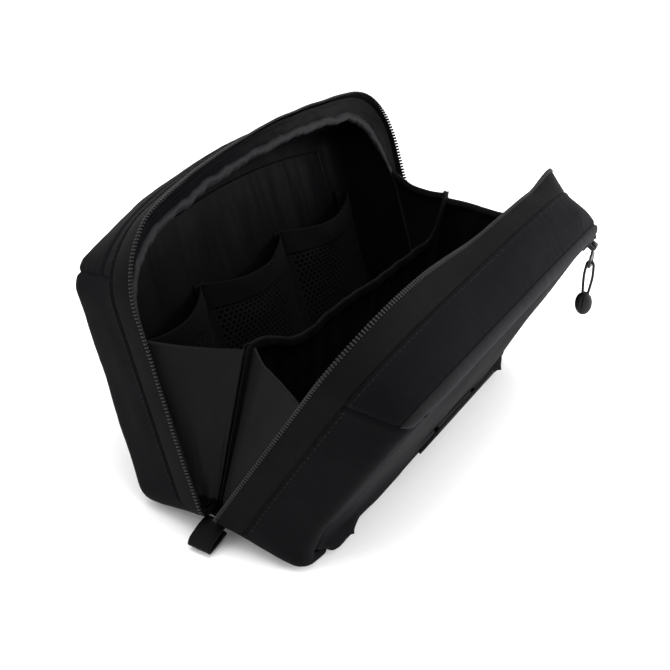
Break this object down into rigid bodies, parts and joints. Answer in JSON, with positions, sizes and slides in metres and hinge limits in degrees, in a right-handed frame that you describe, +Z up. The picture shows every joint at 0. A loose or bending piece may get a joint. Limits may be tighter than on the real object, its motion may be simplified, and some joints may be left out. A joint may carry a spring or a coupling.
{
  "type": "cable organizer pouch",
  "caption": "Zip-round soft pouch for cables that opens in a V, with gusseted ends, mesh pockets, a cloth divider and a zipped outer pocket.",
  "frame": {"origin": "middle of the pouch's footprint box, on the surface it stands on, with the pouch open and the hanging pull's cord and bead left out", "axes": "+X along the pouch, from the end with the webbing loop to the other; +Y from the half with the outer pocket to the half with the mesh pockets; +Z up"},
  "size_m": [0.2644, 0.1907, 0.1562],
  "materials": {
    "shell_fabric": "dense matt woven polyester, near black",
    "zip_tape": "charcoal knitted zip tape",
    "zip_coil": "black nylon coil",
    "lining_cloth": "smooth thin taffeta lining",
    "facing_cloth": "rolled facing strip",
    "gusset_cloth": "plain woven gusset cloth",
    "pocket_mesh": "open knitted mesh",
    "binding_tape": "folded elastic binding",
    "webbing": "ribbed narrow webbing",
    "foam_pad": "thin closed-cell foam",
    "slider_metal": "dark gunmetal plating",
    "badge_metal": "matt black plate",
    "pull_rubber": "moulded soft grip",
    "pull_cord": "thin braided cord"
  },
  "bodies": {
    "rear_half": {"rear_left_wall": "shell_fabric", "rear_right_wall": "shell_fabric", "rear_top_wall": "shell_fabric", "rear_base": "shell_fabric", "rear_zip_tape": "zip_tape", "rear_zip_coil": "zip_coil", "rear_rim_facing": "facing_cloth", "rear_lining": "lining_cloth", "rear_panel": "shell_fabric", "rear_panel_foam": "foam_pad", "mesh_pocket_left": "pocket_mesh", "mesh_pocket_binding_left": "binding_tape", "mesh_pocket_middle": "pocket_mesh", "mesh_pocket_binding_middle": "binding_tape", "mesh_pocket_right": "pocket_mesh", "mesh_pocket_binding_right": "binding_tape", "bottom_fold": "shell_fabric", "zip_end_loop": "webbing"},
    "front_half": {"front_left_wall": "shell_fabric", "front_right_wall": "shell_fabric", "front_top_wall": "shell_fabric", "front_base": "shell_fabric", "front_zip_tape": "zip_tape", "front_zip_coil": "zip_coil", "front_rim_facing": "facing_cloth", "front_lining": "lining_cloth", "front_panel": "shell_fabric", "front_pocket_backing": "lining_cloth", "front_panel_foam": "foam_pad", "badge_plate": "badge_metal", "pocket_zip_tapes": "zip_tape", "pocket_zip_coils": "zip_coil"},
    "divider": {"divider": "lining_cloth", "divider_binding": "binding_tape"},
    "gusset_rear_left": {"left_gusset_rear": "gusset_cloth", "left_gusset_fold_binding": "binding_tape"},
    "gusset_rear_right": {"right_gusset_rear": "gusset_cloth", "right_gusset_fold_binding": "binding_tape"},
    "gusset_front_left": {"left_gusset_front": "gusset_cloth"},
    "gusset_front_right": {"right_gusset_front": "gusset_cloth"},
    "main_slider": {"main_slider": "slider_metal"},
    "main_pull": {"main_pull_tab": "slider_metal"},
    "pocket_slider": {"pocket_slider": "slider_metal"},
    "pocket_pull": {"pocket_pull_tab": "slider_metal", "pull_cord": "pull_cord", "pull_bead": "pull_rubber"}
  },
  "joints": [
    {"name": "front_opening", "type": "hinge", "parent": "rear_half", "child": "front_half", "pos_m": [0.00423, 0.0056, 0.01359], "axis": [-1, 0, 0], "range_deg": [0, 48]},
    {"name": "divider_lean", "type": "hinge", "parent": "rear_half", "child": "divider", "pos_m": [0.00423, 0.0056, 0.01359], "axis": [-1, 0, 0], "range_deg": [0, 24]},
    {"name": "gusset_rear_left_fold", "type": "hinge", "parent": "rear_half", "child": "gusset_rear_left", "pos_m": [-0.11215, 0.02927, 0.05818], "axis": [0, 0.342, 0.9397], "range_deg": [0, 84]},
    {"name": "gusset_front_left_fold", "type": "hinge", "parent": "front_half", "child": "gusset_front_left", "pos_m": [-0.11203, -0.02406, 0.05445], "axis": [0, 0.4695, -0.8829], "range_deg": [0, 84]},
    {"name": "gusset_rear_right_fold", "type": "hinge", "parent": "rear_half", "child": "gusset_rear_right", "pos_m": [0.12062, 0.02927, 0.05818], "axis": [0, -0.342, -0.9397], "range_deg": [0, 84]},
    {"name": "gusset_front_right_fold", "type": "hinge", "parent": "front_half", "child": "gusset_front_right", "pos_m": [0.1205, -0.02406, 0.05445], "axis": [0, -0.4695, 0.8829], "range_deg": [0, 84]},
    {"name": "main_slider_travel", "type": "slide", "parent": "rear_half", "child": "main_slider", "axis": [0, 0.342, 0.9397], "range_m": [0, 0.078]},
    {"name": "main_pull_swing", "type": "hinge", "parent": "main_slider", "child": "main_pull", "pos_m": [0.13033, 0.01175, 0.03051], "axis": [0, -0.9397, 0.342], "range_deg": [0, 110]},
    {"name": "pocket_slider_travel", "type": "slide", "parent": "front_half", "child": "pocket_slider", "axis": [-1, 0, 0], "range_m": [0, 0.186]},
    {"name": "pocket_pull_swing", "type": "hinge", "parent": "pocket_slider", "child": "pocket_pull", "pos_m": [0.09723, -0.09062, 0.09721], "axis": [-1, 0, 0], "range_deg": [-10, 120]}
  ],
  "couplings": [
    {"joint": "divider_lean", "follows": "front_opening", "ratio": 0.5},
    {"joint": "gusset_rear_left_fold", "follows": "front_opening", "ratio": 1.75},
    {"joint": "gusset_rear_right_fold", "follows": "front_opening", "ratio": 1.75},
    {"joint": "gusset_front_left_fold", "follows": "front_opening", "ratio": 1.75},
    {"joint": "gusset_front_right_fold", "follows": "front_opening", "ratio": 1.75}
  ]
}
